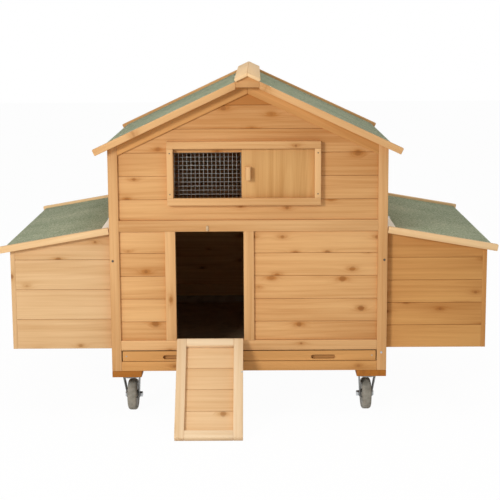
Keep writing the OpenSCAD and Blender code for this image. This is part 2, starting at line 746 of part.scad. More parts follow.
// Droppings tray
module tray_front() {
    half = inner_x - tray_gap;
    low = tray_z + tray_gap / 2;
    high = low_rail_z - tray_gap;
    straight = (slot_l - slot_h) / 2;
    deep = slot_d + cut;
    color(fir) difference() {
        box([-half, tray_set, low], [half, tray_set + tray_board_t, high]);
        both_sides() translate([slot_x, tray_set - cut, (low + high) / 2 - slot_drop]) rotate([-90, 0, 0]) {
            for (x = [-straight, straight]) translate([x, 0, 0]) cylinder(r = slot_h / 2, h = deep);
            translate([-straight, -slot_h / 2, 0]) cube([2 * straight, slot_h, deep]);
        }
    }
}
module tray_pan() {
    half = inner_x - pan_side_gap;
    y0 = tray_set + tray_board_t;
    y1 = house_d - post - pan_rear_gap;
    z = tray_z + tray_run;
    color(zinc) difference() {
        box([-half, y0, z], [half, y1, z + pan_h]);
        box([-half + pan_t, y0 + pan_t, z + pan_t], [half - pan_t, y1 - pan_t, z + pan_h + cut]);
    }
}
module tray_runners() {
    color(fir) both_sides()
        box([inner_x - runner_w, post, base_z], [inner_x, house_d - post, tray_z]);
}

// Perches between the side mid rails
module perches() {
    half = perch_w / 2;
    color(fir) for (y = [house_d / 2 - perch_y, house_d / 2 + perch_y])
        translate([-inner_x, y, mid_rail_z]) rotate([90, 0, 90]) linear_extrude(2 * inner_x)
            polygon([[-half, 0], [half, 0], [half, perch_h - perch_round], [half - perch_round, perch_h],
                [perch_round - half, perch_h], [-half, perch_h - perch_round]]);
}

// Nest boxes, drawn on the right-hand side
module nest_walls(pitch) {
    post_x = nest_x - nest_post;
    least = pitch / 4;
    end_joints = joints_up(nest_z, lid_sweep_z, pitch, pitch, least);
    outer_joints = joints_up(nest_z, lid_z(nest_x), pitch, pitch, least);
    both_ends() {
        for (i = [0 : len(end_joints) - 2]) intersection() {
            translate([0, nest_inset, 0]) boards(half_w, post_x - seam, [end_joints[i], end_joints[i + 1]]);
            slab(under_lid(nest_z, post_x), nest_inset, nest_inset + board_t);
        }
        slab([[post_x, nest_z], [nest_x, nest_z], [nest_x, lid_z(nest_x)], [post_x, lid_z(post_x)]],
            nest_inset, nest_inset + nest_post);
    }
    y0 = nest_inset + nest_post;
    translate([nest_x, 0, 0]) rotate([0, 0, 90]) boards(y0 + seam, house_d - y0 - seam, outer_joints);
}
module right_nest_walls() { color(fir_shade) nest_walls(right_nest_board_w); }
module left_nest_walls() { color(fir) mirror([1, 0, 0]) nest_walls(left_nest_board_w); }
// Floor between the nest walls, notched round the corner posts
module nest_floors() {
    x0 = nest_x - nest_post;
    x1 = nest_x - board_t;
    wall = nest_inset + board_t;
    notch = nest_inset + nest_post;
    color(ply) both_sides() translate([0, 0, nest_z]) linear_extrude(nest_floor_t)
        polygon([[half_w, wall], [x0, wall], [x0, notch], [x1, notch], [x1, house_d - notch],
            [x0, house_d - notch], [x0, house_d - wall], [half_w, house_d - wall]]);
}
module nest_dividers() {
    color(ply) both_sides() slab(under_lid(nest_z + nest_floor_t, nest_x - board_t),
        (house_d - nest_divider_t) / 2, (house_d + nest_divider_t) / 2);
}

// Nest lids, drawn in the lid frame on the right-hand side
module lid_sheet(z0, z1) {
    at_lid() box([lid_batten_t, -lid_end, z0], [house_d - lid_batten_t, -lid_start - lid_strip_w - seam, z1]);
}
module lid_board() { lid_sheet(-lid_under, -axis_off - felt_t); }
module lid_felt() { lid_sheet(-axis_off - felt_t, -axis_off); }
// Battens along the lid's front and rear edge, and the strip along its inner edge
module lid_battens() {
    top = lid_batten_proud - axis_off;
    strip_y = lid_batten_t + seam;
    at_lid() {
        for (y = [0, house_d - lid_batten_t])
            box([y, -lid_end - lid_batten_past, top - lid_batten_h], [y + lid_batten_t, -lid_start, top]);
        box([strip_y, -lid_start - lid_strip_w, -lid_under], [house_d - strip_y, -lid_start, -axis_off]);
    }
}
module right_lid_board() { color(ply) lid_board(); }
module left_lid_board() { color(ply) mirror([1, 0, 0]) lid_board(); }
module right_lid_felt() { color(felt_green) lid_felt(); }
module left_lid_felt() { color(felt_green) mirror([1, 0, 0]) lid_felt(); }
module right_lid_battens() { color(fir) lid_battens(); }
module left_lid_battens() { color(fir) mirror([1, 0, 0]) lid_battens(); }

// Castors. side is -1 on the left and 1 on the right, end is 0 at the front and 1 at the rear.
module at_swivel(side, end) {
    translate([side * swivel_x, end == 0 ? swivel_in : house_d - swivel_in, 0])
        rotate([0, 0, side * castor_yaw]) children();
}
module castor_blocks() {
    color(fir) both_ends() both_sides()
        box([half_w - block_w, 0, castor_h], [half_w, block_w, base_z]);
}
module castor_plates() {
    half = plate_w / 2;
    color(zinc) for (side = [-1, 1]) for (end = [0, 1])
        translate([side * swivel_x, end == 0 ? swivel_in : house_d - swivel_in, 0]) {
            box([-half, -half, plate_z], [half, half, castor_h]);
            translate([0, 0, race_z]) cylinder(r = race_r, h = race_t);
            translate([0, 0, crown_z - race_gap - king_head_t])
                cylinder(r = king_r, h = crown_t + king_head_t + 2 * race_gap + eps);
            translate([0, 0, crown_z - race_gap - king_head_t]) cylinder(r = king_head_r, h = king_head_t);
        }
}
// Leg of the fork on the +X side: a splayed strip, cut to the side view's outline
module fork_leg() {
    top = crown_z + crown_t / 2;
    front = axle_z - leg_end_r;
    foot_x = leg_foot_x;
    top_x = leg_foot_x + leg_splay;
    lean = atan2(top - axle_z, trail - leg_ahead);
    intersection() {
        slab([[foot_x, front], [foot_x + leg_t, front], [foot_x + leg_t, axle_z + leg_end_r],
            [top_x + leg_t, crown_z], [top_x + leg_t, top], [top_x, top], [top_x, crown_z],
            [foot_x, axle_z + leg_end_r]], -2 * race_r, trail + 2 * leg_end_r);
        union() {
            translate([0, trail, axle_z]) rotate([0, 90, 0]) cylinder(r = leg_end_r, h = 2 * race_r);
            rotate([90, 0, 90]) linear_extrude(2 * race_r)
                polygon([[-leg_ahead, top],
                    [trail - leg_end_r * sin(lean), axle_z - leg_end_r * cos(lean)],
                    [trail + leg_end_r, axle_z], [leg_behind, top]]);
        }
    }
}
module fork(side, end) {
    color(zinc) at_swivel(side, end) difference() {
        union() {
            translate([0, 0, crown_z]) cylinder(r = race_r, h = crown_t);
            both_sides() fork_leg();
        }
        translate([0, 0, crown_z - cut]) cylinder(r = king_r + pin_clear, h = crown_t + 2 * cut);
        translate([-2 * race_r, trail, axle_z]) rotate([0, 90, 0])
            cylinder(r = axle_r + pin_clear, h = 4 * race_r);
    }
}
module axle(side, end) {
    half = leg_foot_x + leg_t;
    color(zinc) at_swivel(side, end) translate([0, trail, axle_z]) rotate([0, -90 * side, 0]) {
        translate([0, 0, -half]) cylinder(r = axle_r, h = 2 * half);
        translate([0, 0, -half - bolt_head_t]) cylinder(r = bolt_head_r, h = bolt_head_t, $fn = 6);
        translate([0, 0, half]) cylinder(r = bolt_head_r, h = nut_t, $fn = 6);
    }
}
// Hub with its bore, and the tyre round it with a crowned tread
module wheel(side, end) {
    crown = wheel_w / 4;
    tread = [for (a = [-90 : 15 : 90])
        [wheel_r - crown + crown * cos(a), sign(a) * (wheel_w / 2 - crown) + crown * sin(a)]];
    color(rubber) at_swivel(side, end) translate([0, trail, axle_z]) rotate([0, 90, 0]) {
        rotate_extrude($fn = 96) polygon(concat([[hub_r + pin_clear, -wheel_w / 2]], tread,
            [[hub_r + pin_clear, wheel_w / 2]]));
        difference() {
            union() {
                translate([0, 0, hub_inset - wheel_w / 2])
                    cylinder(r = hub_r, h = wheel_w - 2 * hub_inset, $fn = 96);
                translate([0, 0, -hub_w / 2]) cylinder(r = hub_boss_r, h = hub_w);
            }
            translate([0, 0, -hub_w]) cylinder(r = axle_r + pin_clear, h = 2 * hub_w);
        }
    }
}

placed() front_posts();
placed() rear_posts();
placed() front_sill();
placed() front_low_rail();
placed() front_mid_rail();
placed() door_jambs();
placed() front_rafters();
placed() front_boards();
placed() gable_boards();
placed() rear_frame();
placed() rear_boards();
placed() side_frames();
placed() side_boards();
placed() roof_boards();
placed() roof_felts();
placed() barge_battens();
placed() ridge_cap();
placed() ridge_blocks();
placed() window_frame();
placed() window_mesh();
placed() window_panel();
placed() window_knob();
placed() ramp_frame();
placed() ramp_boards();
placed() ramp_rail_leaves();
placed() ramp_leaves();
placed() hinge_pins();
placed() turn_button();
placed() turn_button_screw();
placed() tray_front();
placed() tray_pan();
placed() tray_runners();
placed() perches();
placed() left_nest_walls();
placed() right_nest_walls();
placed() nest_floors();
placed() nest_dividers();
placed() left_lid_board();
placed() right_lid_board();
placed() left_lid_felt();
placed() right_lid_felt();
placed() left_lid_battens();
placed() right_lid_battens();
placed() lid_wall_leaves();
placed() left_lid_leaves();
placed() right_lid_leaves();
placed() castor_blocks();
placed() castor_plates();
placed() fork(-1, 0);  // front_left_fork
placed() fork(1, 0);  // front_right_fork
placed() fork(-1, 1);  // rear_left_fork
placed() fork(1, 1);  // rear_right_fork
placed() axle(-1, 0);  // front_left_axle
placed() axle(1, 0);  // front_right_axle
placed() axle(-1, 1);  // rear_left_axle
placed() axle(1, 1);  // rear_right_axle
placed() wheel(-1, 0);  // front_left_wheel
placed() wheel(1, 0);  // front_right_wheel
placed() wheel(-1, 1);  // rear_left_wheel
placed() wheel(1, 1);  // rear_right_wheel
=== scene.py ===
import json
import math

import bpy
import numpy as np
from mathutils import Matrix, Vector


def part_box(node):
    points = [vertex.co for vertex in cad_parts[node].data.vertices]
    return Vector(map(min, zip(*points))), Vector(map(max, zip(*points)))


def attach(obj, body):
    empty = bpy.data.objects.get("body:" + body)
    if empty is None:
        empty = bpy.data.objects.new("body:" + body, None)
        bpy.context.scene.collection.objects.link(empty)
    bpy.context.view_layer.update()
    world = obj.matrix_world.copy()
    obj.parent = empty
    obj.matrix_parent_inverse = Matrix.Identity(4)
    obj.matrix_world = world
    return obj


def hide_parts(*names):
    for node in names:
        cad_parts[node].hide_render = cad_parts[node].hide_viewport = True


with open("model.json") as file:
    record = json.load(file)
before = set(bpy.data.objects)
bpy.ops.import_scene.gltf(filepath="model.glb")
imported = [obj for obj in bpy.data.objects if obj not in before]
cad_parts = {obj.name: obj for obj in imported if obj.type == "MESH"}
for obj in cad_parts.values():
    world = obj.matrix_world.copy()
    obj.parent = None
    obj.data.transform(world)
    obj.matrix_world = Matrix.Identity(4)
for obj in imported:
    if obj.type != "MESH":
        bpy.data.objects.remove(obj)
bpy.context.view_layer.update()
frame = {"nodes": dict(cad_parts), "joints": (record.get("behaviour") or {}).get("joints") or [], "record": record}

# Frame of the house: corner posts, sills, rails, door jambs and rafters. They are planed fir battens with
# rubbed-down edges, butted flush and nailed, under a thin honey-coloured wood oil.
# Each batten is a dressed copy of its solid, with a stretch of grain of its own.
body_of = {n: b for b, names in frame["record"]["behaviour"]["bodies"].items() for n in names}


def paint(red, green, blue):
    """A colour as a paint chart gives it, 0 to 255, made linear."""
    return tuple(c / 12.92 if c <= 0.04045 else ((c + 0.055) / 1.055) ** 2.4
                 for c in (red / 255, green / 255, blue / 255)) + (1.0,)


class Shade:
    """One socket among a finish's nodes. Sums on it add Math nodes, and make() adds any other node."""

    def __init__(self, tree, socket=None):
        self.tree = tree
        self.socket = socket

    def make(self, kind, inputs=None, out=0, stops=(), **settings):
        node = self.tree.nodes.new("ShaderNode" + kind)
        for key, value in settings.items():
            setattr(node, key, value)
        for place, colour in stops:
            node.color_ramp.elements.new(place).color = colour
        if stops:
            node.color_ramp.elements.remove(node.color_ramp.elements[0])
            node.color_ramp.elements.remove(node.color_ramp.elements[-1])
        self.feed(node, inputs or {})
        return Shade(self.tree, node.outputs[out])

    def feed(self, node, inputs):
        for key, value in inputs.items():
            if isinstance(value, Shade):
                self.tree.links.new(value.socket, node.inputs[key])
            else:
                node.inputs[key].default_value = value

    def other(self, out):
        return Shade(self.tree, self.socket.node.outputs[out])

    def sum(self, operation, first, second=0.0):
        return self.make("Math", {0: first, 1: second}, operation=operation)

    def blend(self, factor, first, second):
        return self.make("Mix", {0: factor, 6: first, 7: second}, out=2, data_type="RGBA")

    def place(self, x, y, z):
        return self.make("CombineXYZ", {0: x, 1: y, 2: z})

    def noise(self, at, size=1.0, detail=2.0):
        return self.make("TexNoise", {"Vector": at, "Scale": size, "Detail": detail}, out="Fac")

    def fade(self, value, low, high, start, end):
        return self.make("MapRange", {"Value": value, "From Min": low, "From Max": high,
                                      "To Min": start, "To Max": end}, interpolation_type="SMOOTHSTEP")

    def bump(self, height, strength, distance):
        return self.make("Bump", {"Strength": strength, "Distance": distance, "Height": height}, out="Normal")

    def __add__(self, value):
        return self.sum("ADD", self, value)

    __radd__ = __add__

    def __sub__(self, value):
        return self.sum("SUBTRACT", self, value)

    def __rsub__(self, value):
        return self.sum("SUBTRACT", value, self)

    def __mul__(self, value):
        return self.sum("MULTIPLY", self, value)

    __rmul__ = __mul__

    def __truediv__(self, value):
        return self.sum("DIVIDE", self, value)

    def __rtruediv__(self, value):
        return self.sum("DIVIDE", value, self)

    def __pow__(self, value):
        return self.sum("POWER", self, value)


def new_finish(name, **fixed):
    finish = bpy.data.materials.new(name)
    finish.use_nodes = True
    shader = finish.node_tree.nodes["Principled BSDF"]
    for key, value in fixed.items():
        shader.inputs[key.replace("_", " ")].default_value = value
    return finish, shader, Shade(finish.node_tree)


knot_core, knot_rim, joint_and_shade_brown = paint(138, 82, 38), paint(92, 52, 24), paint(112, 66, 28)
knots_along, knots_across = 7.0, 12.0


def sawn_wood(name, pale, deep, knots, rings, wander):
    """Oiled timber that follows each stick's own grain: growth rings that swerve round knots, fibres and clouding.
    knots is the share of places that have one, rings the rings per metre, wander how far they drift."""
    finish, shader, s = new_finish(name, Specular_IOR_Level=0.18)
    along = s.make("SeparateXYZ", {0: s.make("Attribute", out="Vector", attribute_name="grain")}, out="X")
    across, inward = along.other("Y"), along.other("Z")
    tone_and_light = s.make("Attribute", out="Fac", attribute_name="tone_and_light")
    joint_and_shade = s.make("Attribute", out="Fac", attribute_name="joint_and_shade")
    down, over = along * knots_along, across * knots_across
    spot = s.make("TexVoronoi", {"Vector": s.place(down, over, 0.0), "Scale": 1.0, "Randomness": 0.9},
                  out="Distance", voronoi_dimensions="2D")
    chance = s.make("SeparateColor", {0: spot.other("Color")}, out="Red")
    eye = s.make("SeparateXYZ", {0: spot.other("Position")}, out="X")
    here = s.sum("GREATER_THAN", chance, 1.0 - knots)
    off_x, off_y = (down - eye) / knots_along, (over - eye.other("Y")) / knots_across
    ragged = s.noise(s.place(along * 60.0, across * 90.0, inward * 90.0))
    reach = (off_x * off_x + off_y * off_y) ** 0.5 * (0.5 + ragged) / (0.003 + 0.006 * chance.other("Green"))
    core = here * s.fade(reach, 0.2, 1.4, 1.0, 0.0) * (0.3 + 0.7 * chance.other("Blue"))
    rim = core * s.fade(s.sum("ABSOLUTE", reach - 0.9), 0.0, 0.45, 1.0, 0.0)
    smudge = here * (0.4 + 0.6 * chance.other("Green")) / (
        1.0 + (off_x * 46.0) ** 2.0 + (off_y * 105.0) ** 2.0) ** 2.0
    drift = s.noise(s.place(along * 0.7, across * 4.0, inward * 4.0))
    early = s.sum("FRACT", across * rings + inward * rings * 0.4 + drift * wander + smudge * 3.0)
    late = early ** 2.0 * s.fade(early, 0.8, 1.0, 1.0, 0.0)
    fibre = s.noise(s.place(along * 9.0, across * 420.0, inward * 420.0))
    streak = s.noise(s.place(along * 1.3, across * 70.0, inward * 70.0), detail=3.0)
    cloud = s.noise(s.place(along * 2.2, across * 8.0, inward * 8.0), detail=1.0)
    depth = (0.2 + late * 0.18 + (fibre - 0.5) * 0.4 + (streak - 0.5) * 0.8 + (cloud - 0.5) * 1.1 + tone_and_light * 0.2
             + smudge * 1.1)
    body = s.blend(depth, pale, deep)
    body = s.blend(core * 0.66, body, knot_core)
    body = s.blend(rim * 0.5, body, knot_rim)
    # Darkens the V-joint chamfers, where the oil has gone dark, and also the tray board's faces that carry painted
    # shade for its gap and slots.
    body = s.blend(joint_and_shade * 0.14, body, joint_and_shade_brown)
    rise = late * 0.5 + fibre * 0.7 - core * 0.4
    s.feed(shader, {"Base Color": body, "Roughness": 0.5 + fibre * 0.24,
                    "Normal": s.bump(rise, strength=0.3, distance=0.0005)})
    return finish


frame_fir = sawn_wood("frame_fir", paint(223, 175, 120), paint(178, 120, 62), knots=0.3, rings=70.0, wander=7.0)
deep_fir = sawn_wood("deep_fir", paint(208, 152, 90), paint(164, 104, 46), knots=0.4, rings=70.0, wander=8.0)


def pick(piece):
    bpy.ops.object.select_all(action="DESELECT")
    piece.select_set(True)
    bpy.context.view_layer.objects.active = piece


def dressed(node, kind, edge):
    """A copy of a solid with its triangles merged into whole faces and its edges rounded. It stands for that solid."""
    piece = bpy.data.objects.new(f"{node}_{kind}", frame["nodes"][node].data.copy())
    bpy.context.scene.collection.objects.link(piece)
    piece.data.materials.clear()
    pick(piece)
    bpy.ops.mesh.customdata_custom_splitnormals_clear()
    bpy.ops.object.mode_set(mode="EDIT")
    bpy.ops.mesh.select_all(action="SELECT")
    bpy.ops.mesh.remove_doubles(threshold=0.00002)
    bpy.ops.mesh.dissolve_limited(angle_limit=math.radians(1))
    bpy.ops.object.mode_set(mode="OBJECT")
    bevel = piece.modifiers.new("rubbed_edges", "BEVEL")
    bevel.width = edge
    bevel.segments = 2
    bevel.limit_method = "ANGLE"
    bevel.angle_limit = math.radians(35)
    bpy.ops.object.modifier_apply(modifier=bevel.name)
    bpy.ops.object.shade_smooth_by_angle(angle=math.radians(30))
    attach(piece, body_of[node])
    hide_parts(node)
    return piece


log_size, tone_spread, least_chamfer = 30, 0.7, 0.00004


def lay_grain(piece, seed, lengthwise=None, shift=0.0, lean=0.0, climb=0.0):
    """Gives each stick of a piece its own place in the timber, a tone, and a mark on its V-joint chamfers.
    shift deepens all the tones, lean those on the right, and climb those near the top, as painted shade under the
    roof's edge."""
    mesh = piece.data
    spots = np.empty(len(mesh.vertices) * 3, np.float32)
    mesh.vertices.foreach_get("co", spots)
    spots = spots.reshape(-1, 3)
    edges = np.empty(len(mesh.edges) * 2, np.int32)
    mesh.edges.foreach_get("vertices", edges)
    edges = edges.reshape(-1, 2)
    # Corners that edges join belong to one stick, and all take the lowest number among them.
    stick = np.arange(len(spots))
    while True:
        low = np.minimum(stick[edges[:, 0]], stick[edges[:, 1]])
        joined = stick.copy()
        np.minimum.at(joined, edges[:, 0], low)
        np.minimum.at(joined, edges[:, 1], low)
        joined = joined[joined]
        if (joined == stick).all():
            break
        stick = joined
    luck = np.random.default_rng(seed)
    grain = np.zeros((len(spots), 3), np.float32)
    tone_and_light = np.zeros(len(spots), np.float32)
    ways = spots[edges[:, 1]] - spots[edges[:, 0]]
    lengths = np.linalg.norm(ways, axis=1)
    wide = {}
    for name in np.unique(stick):
        own = stick == name
        mine = stick[edges[:, 0]] == name
        way, length = ways[mine], lengths[mine]
        run = np.array(lengthwise, float) if lengthwise else way[length.argmax()] / length.max()
        # The width lies along the longest edge across the run, and a slanted edge counts a little less.
        side = way - np.outer(way @ run, run)
        side_length = np.linalg.norm(side, axis=1)
        widest = np.where(np.abs(way @ run) < 0.3 * length, side_length, 0.9 * side_length).argmax()
        span = side[widest] / max(side_length[widest], 1e-9)
        depth = np.cross(run, span)
        wide[name] = (span, depth)
        grain[own] = spots[own] @ np.stack((run, span, depth), 1) + luck.uniform(0, log_size, 3)
        middle = (spots[own].max(0) + spots[own].min(0)) / 2
        height = (middle[2] - spots[:, 2].min()) / np.ptp(spots[:, 2])
        tone_and_light[own] = luck.uniform(-tone_spread, tone_spread) + shift + lean * np.sign(middle[0]) + climb * height ** 2
    mesh.attributes.new("grain", "FLOAT_VECTOR", "POINT").data.foreach_set("vector", grain.ravel())
    mesh.attributes.new("tone_and_light", "FLOAT", "POINT").data.foreach_set("value", tone_and_light)
    joint_and_shade = [0.0] * len(mesh.polygons)
    for face in mesh.polygons:
        span, depth = wide[stick[face.vertices[0]]]
        slant = min(abs(np.dot(face.normal, span)), abs(np.dot(face.normal, depth)))
        joint_and_shade[face.index] = 1.0 if slant > 0.5 and face.area > least_chamfer else 0.0
    mesh.attributes.new("joint_and_shade", "FLOAT", "FACE").data.foreach_set("value", joint_and_shade)


def timber(node, finish, seed, edge, **ways):
    piece = dressed(node, "timber", edge)
    lay_grain(piece, seed, **ways)
    piece.data.materials.append(finish)
    return piece


planed = 0.0014
timber("front_posts", frame_fir, seed=10, edge=planed, shift=0.7)
timber("door_jambs", frame_fir, seed=11, edge=planed, shift=0.7)
timber("front_mid_rail", frame_fir, seed=12, edge=planed, shift=2.0)
timber("front_low_rail", frame_fir, seed=14, edge=planed, shift=-0.4)
timber("rear_posts", frame_fir, seed=16, edge=planed)
timber("rear_frame", frame_fir, seed=17, edge=planed)
timber("side_frames", frame_fir, seed=18, edge=planed)
timber("front_sill", deep_fir, seed=19, edge=planed, shift=-0.4)
timber("front_rafters", deep_fir, seed=15, edge=planed, shift=0.6, lean=0.4)

# Wall boards: narrow V-jointed fir boards let in between the posts, with knots all along them.
# The oil has gone dark in the V joints and the boards differ a little in tone.
wall_fir = sawn_wood("wall_fir", paint(225, 175, 117), paint(180, 118, 58), knots=0.65, rings=60.0, wander=9.0)
board_edge = 0.0004
timber("front_boards", wall_fir, seed=30, edge=board_edge, shift=0.2, lean=0.1)
# The gable boards are deepened towards the top: painted shade under the roof's edge.
timber("gable_boards", wall_fir, seed=31, edge=board_edge, shift=0.5, climb=2.8)
timber("rear_boards", wall_fir, seed=32, edge=board_edge)
timber("side_boards", wall_fir, seed=33, edge=board_edge)

# Roof: two plywood sheets on the rafters, edged with fir barge battens, with a ridge cap of two boards
# and a shaped block under each end of it. Nailed on and oiled like the walls.
ply = sawn_wood("plywood_face", paint(218, 170, 110), paint(176, 122, 62), knots=0.0, rings=18.0, wander=16.0)
pale_fir = sawn_wood("pale_fir", paint(236, 198, 148), paint(194, 142, 84), knots=0.3, rings=70.0, wander=7.0)
sheet_edge, batten_edge = 0.0006, 0.0018
timber("roof_boards", ply, seed=40, edge=sheet_edge)
timber("barge_battens", frame_fir, seed=41, edge=batten_edge, shift=-0.1)
timber("ridge_cap", pale_fir, seed=42, edge=batten_edge, shift=-2.4)
timber("ridge_blocks", frame_fir, seed=43, edge=batten_edge, shift=0.4)


# Roofing felt: green mineral-faced bitumen sheet, two millimetres thick, laid flat between the battens.
# Its grit is a mix of green, grey and buff grains pressed into the bitumen.
def mineral_felt(name, stops):
    finish, shader, s = new_finish(name, Specular_IOR_Level=0.15)
    at = s.make("TexCoord", out="Object")
    grit = s.make("TexVoronoi", {"Vector": at, "Scale": 620.0}, out="Distance")
    lot = s.make("SeparateColor", {0: grit.other("Color")}, out="Red")
    patch = s.noise(at, size=150.0, detail=3.0)
    broad = s.noise(at, size=7.0)
    mixed = lot * 0.5 + (patch - 0.5) * 1.5 + (broad - 0.5) * 0.5 + 0.25
    rise = lot * 0.6 + patch - grit * 200.0
    s.feed(shader, {"Base Color": s.make("ValToRGB", {0: mixed}, stops=stops), "Roughness": 0.82 + lot * 0.15,
                    "Normal": s.bump(rise, strength=0.5, distance=0.0008)})
    return finish


felt = mineral_felt("green_felt", ((0.08, paint(124, 136, 108)), (0.4, paint(162, 172, 140)),
                                   (0.62, paint(184, 190, 158)), (0.95, paint(214, 212, 182))))
for node in ("roof_felts", "left_lid_felt", "right_lid_felt"):
    dressed(node, "sheet", sheet_edge).data.materials.append(felt)

# Window: a frame of fir battens over spacer strips, which leave a channel for the sliding panel.
# The panel is thin plywood with upright grain, and its knob is a short fir block.
timber("window_frame", frame_fir, seed=50, edge=0.0012, shift=-0.8)
timber("window_panel", ply, seed=51, edge=sheet_edge, lengthwise=(0, 0, 1), shift=1.0)
timber("window_knob", frame_fir, seed=52, edge=0.0015)


# Welded mesh behind the window: round zinc-coated wires, upright ones in front of level ones and welded
# where they cross, stapled behind the wall boards.
def zinc_coat(name, colour, rough, flake, bare=1.0):
    """Plated or coated steel with faint flakes and a dull film. bare is how metallic it still looks."""
    finish, shader, s = new_finish(name, Metallic=bare)
    at = s.make("TexCoord", out="Object")
    lot = s.make("SeparateColor", {0: s.make("TexVoronoi", {"Vector": at, "Scale": flake}, out="Color")}, out="Red")
    film = s.noise(at, size=flake * 0.3, detail=3.0)
    dull = tuple(c * 0.62 for c in colour[:3]) + (1.0,)
    s.feed(shader, {"Base Color": s.blend(0.3 + (lot - 0.5) * 0.5 + (film - 0.5) * 0.8, colour, dull),
                    "Roughness": rough + lot * 0.1 + film * 0.16,
                    "Normal": s.bump(film, strength=0.12, distance=0.0002)})
    return finish


def gather(pieces, name):
    """Joins pieces into one, with its place in its mesh."""
    bpy.ops.object.select_all(action="DESELECT")
    for piece in pieces:
        piece.select_set(True)
    bpy.context.view_layer.objects.active = pieces[0]
    bpy.ops.object.join()
    bpy.ops.object.transform_apply(location=True, rotation=True, scale=True)
    pieces[0].name = name
    return pieces[0]


wire_zinc = zinc_coat("wire_zinc", paint(192, 190, 184), rough=0.42, flake=260.0)
low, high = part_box("window_mesh")
pitch, wire, wire_short = 0.0127, 0.0012, 0.0004
strands = []
for level in (False, True):
    count = round(((high.z - low.z) if level else (high.x - low.x)) / pitch)
    span = (high.x - low.x) if level else (high.z - low.z)
    for i in range(count + 1):
        across = wire / 2 + i * pitch
        spot = (((low.x + high.x) / 2, low.y + wire * 1.25, low.z + across) if level
                else (low.x + across, low.y + wire / 2, (low.z + high.z) / 2))
        bpy.ops.object.select_all(action="DESELECT")
        bpy.ops.mesh.primitive_cylinder_add(vertices=8, radius=wire / 2, depth=span - wire_short, location=spot,
                                            rotation=(0, math.pi / 2, 0) if level else (0, 0, 0))
        bpy.ops.object.mode_set(mode="EDIT")
        bpy.ops.mesh.select_all(action="SELECT")
        bpy.ops.mesh.bevel(offset=0.0002, segments=1, affect="EDGES")
        bpy.ops.object.mode_set(mode="OBJECT")
        strands.append(bpy.context.object)
mesh_panel = gather(strands, "window_mesh_wires")
pick(mesh_panel)
bpy.ops.object.shade_smooth_by_angle(angle=math.radians(50))
mesh_panel.data.materials.append(wire_zinc)
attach(mesh_panel, "house")
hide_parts("window_mesh")

# Ramp: a fir frame with boards let into it flush with the underside, so that the frame stands up round
# them. It is paler than the walls, as new wood is.
ramp_fir = sawn_wood("ramp_fir", paint(232, 195, 149), paint(202, 152, 96), knots=0.06, rings=60.0, wander=8.0)
stile_fir = sawn_wood("ramp_stile_fir", paint(236, 208, 170), paint(208, 166, 116), knots=0.25, rings=60.0, wander=7.0)
timber("ramp_frame", stile_fir, seed=60, edge=planed)
timber("ramp_boards", ramp_fir, seed=61, edge=board_edge)

# Hinges and turn button: pressed zinc-plated steel. The ramp and the lids swing on butt hinges with
# rolled knuckles and loose pins, and the button turns on a round-headed screw.
zinc = zinc_coat("zinc_plate", paint(205, 208, 210), rough=0.26, flake=160.0)
button_zinc = zinc_coat("button_zinc", paint(206, 176, 138), rough=0.5, flake=260.0, bare=0.5)
for node in ("ramp_rail_leaves", "ramp_leaves", "hinge_pins", "lid_wall_leaves", "left_lid_leaves",
             "right_lid_leaves", "turn_button", "turn_button_screw"):
    dressed(node, "plated", edge=0.0003).data.materials.append(button_zinc if node.startswith("turn") else zinc)

# Screws and nails: round heads of plated steel with a sunk drive, in the posts, the window frame, the ramp
# and its hinges. One head is turned up and set on each spot, standing on the face that it is driven into.
bpy.ops.object.select_all(action="DESELECT")
bpy.ops.mesh.primitive_cylinder_add(vertices=14, radius=1.0, depth=0.5, location=(0, 0, 0.1))
bpy.ops.object.transform_apply(location=True, rotation=True, scale=True)
screw_head = bpy.context.object
for face in screw_head.data.polygons:
    face.select = face.normal.z > 0.9
bpy.ops.object.mode_set(mode="EDIT")
bpy.ops.mesh.select_mode(type="FACE")
bpy.ops.mesh.inset(thickness=0.22, depth=0.16)
bpy.ops.mesh.inset(thickness=0.34, depth=0.04)
bpy.ops.mesh.inset(thickness=0.1, depth=-0.3)
bpy.ops.object.mode_set(mode="OBJECT")
bpy.ops.object.shade_smooth_by_angle(angle=math.radians(40))


def drive(name, body, finish, radius, spots):
    """Sets a row of heads, each at a point on a face and square to it, and joins them into one piece."""
    heads = []
    for point, facing in spots:
        head = bpy.data.objects.new(name, screw_head.data.copy())
        bpy.context.scene.collection.objects.link(head)
        turn = Vector((0, 0, 1)).rotation_difference(Vector(facing)).to_matrix().to_4x4()
        head.data.transform(Matrix.Translation(point) @ turn @ Matrix.Scale(radius, 4))
        heads.append(head)
    row = gather(heads, name)
    row.data.materials.append(finish)
    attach(row, body)


def joint_place(name):
    return Vector(next(j for j in frame["joints"] if j["name"] == name)["pos_m"])


bolt_zinc = zinc_coat("bolt_zinc", paint(104, 92, 78), rough=0.46, flake=300.0, bare=0.6)
forward = (0, -1, 0)
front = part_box("front_posts")[0].y
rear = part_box("rear_posts")[1].y
wall_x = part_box("front_posts")[1].x
post_screw_x, post_screw_z = wall_x - 0.0095, 0.5
drive("post_screws", "house", bolt_zinc, 0.0042,
      [((side * post_screw_x, front, post_screw_z), forward) for side in (-1, 1)])
corner_screw_x, corner_screw_z = wall_x - 0.016, 0.207
drive("corner_screw", "house", zinc, 0.0038, [((corner_screw_x, front, corner_screw_z), forward)])

low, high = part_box("window_frame")
nail_in, nail_up = 0.009, 0.035
drive("window_nails", "house", bolt_zinc, 0.0022,
      [((x, low.y, z), forward) for x in (high.x - nail_in, low.x + nail_in)
       for z in (low.z + nail_up, high.z - nail_up)])

